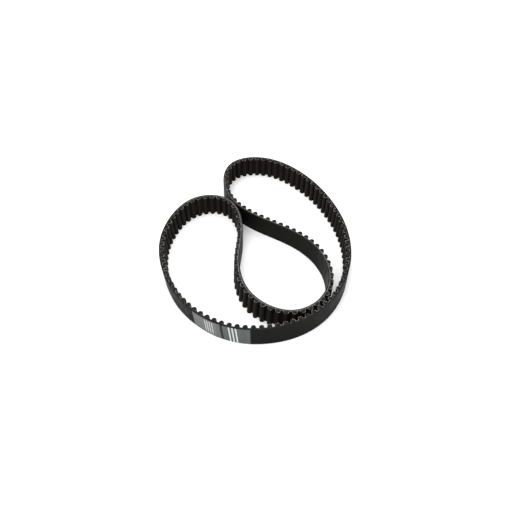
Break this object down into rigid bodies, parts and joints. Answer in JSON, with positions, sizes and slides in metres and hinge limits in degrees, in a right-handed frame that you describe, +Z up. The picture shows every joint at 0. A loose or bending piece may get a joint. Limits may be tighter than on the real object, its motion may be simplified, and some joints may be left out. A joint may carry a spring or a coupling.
{
  "type": "timing belt",
  "caption": "Endless toothed timing belt with round teeth inside and a smooth back with a plain label, standing on edge in a loose folded lay; the loop can sway.",
  "frame": {"origin": "centre of the belt's bounding box, on the surface that its lower cut edge stands on", "axes": "+Z up across the belt's width, +Y from the label side to the far end of the top lobe, +X to the right seen from the label side"},
  "size_m": [0.201, 0.2446, 0.025],
  "materials": {
    "back_rubber": "ground smooth, slight sheen",
    "glass_cord": "twisted glass-fibre strands",
    "tooth_rubber": "moulded, matte",
    "facing": "fine woven nylon",
    "label_light": "printed film",
    "label_dark": "printed film",
    "label_grey": "printed film",
    "label_ink": "white ink",
    "label_faint_ink": "worn grey ink"
  },
  "bodies": {
    "front_wall": {"front_backing": "back_rubber", "front_cord_ply": "glass_cord", "front_teeth": "tooth_rubber", "front_facing": "facing", "label_left_panel": "label_light", "label_divider": "label_dark", "label_right_panel": "label_grey", "label_stripes": "label_ink", "label_bars": "label_faint_ink"},
    "right_wall": {"right_backing": "back_rubber", "right_cord_ply": "glass_cord", "right_teeth": "tooth_rubber", "right_facing": "facing"},
    "fold": {"top_backing": "back_rubber", "top_cord_ply": "glass_cord", "top_teeth": "tooth_rubber", "top_facing": "facing", "pocket_backing": "back_rubber", "pocket_cord_ply": "glass_cord", "pocket_teeth": "tooth_rubber", "pocket_facing": "facing", "lobe_backing": "back_rubber", "lobe_cord_ply": "glass_cord", "lobe_teeth": "tooth_rubber", "lobe_facing": "facing"},
    "left_wall": {"left_backing": "back_rubber", "left_cord_ply": "glass_cord", "left_teeth": "tooth_rubber", "left_facing": "facing"},
    "closing_stretch": {"closing_backing": "back_rubber", "closing_cord_ply": "glass_cord", "closing_teeth": "tooth_rubber", "closing_facing": "facing"}
  },
  "joints": [
    {"name": "front_right_flex", "type": "hinge", "parent": "front_wall", "child": "right_wall", "pos_m": [0.06789, -0.09497, 0.0125], "axis": [0, 0, 1], "range_deg": [0, 8], "stiffness_Nm_per_rad": 0.3},
    {"name": "right_top_flex", "type": "hinge", "parent": "right_wall", "child": "fold", "pos_m": [0.09343, 0.02432, 0.0125], "axis": [0, 0, 1], "range_deg": [-8, 0]},
    {"name": "left_top_flex", "type": "hinge", "parent": "fold", "child": "left_wall", "pos_m": [-0.06046, 0.05577, 0.0125], "axis": [0, 0, 1], "range_deg": [0, 8]},
    {"name": "front_left_flex", "type": "hinge", "parent": "left_wall", "child": "closing_stretch", "pos_m": [-0.08676, -0.06353, 0.0125], "axis": [0, 0, 1], "range_deg": [-8, 0]}
  ],
  "couplings": [
    {"joint": "right_top_flex", "follows": "front_right_flex", "ratio": -1},
    {"joint": "left_top_flex", "follows": "front_right_flex", "ratio": 1},
    {"joint": "front_left_flex", "follows": "front_right_flex", "ratio": -1}
  ]
}
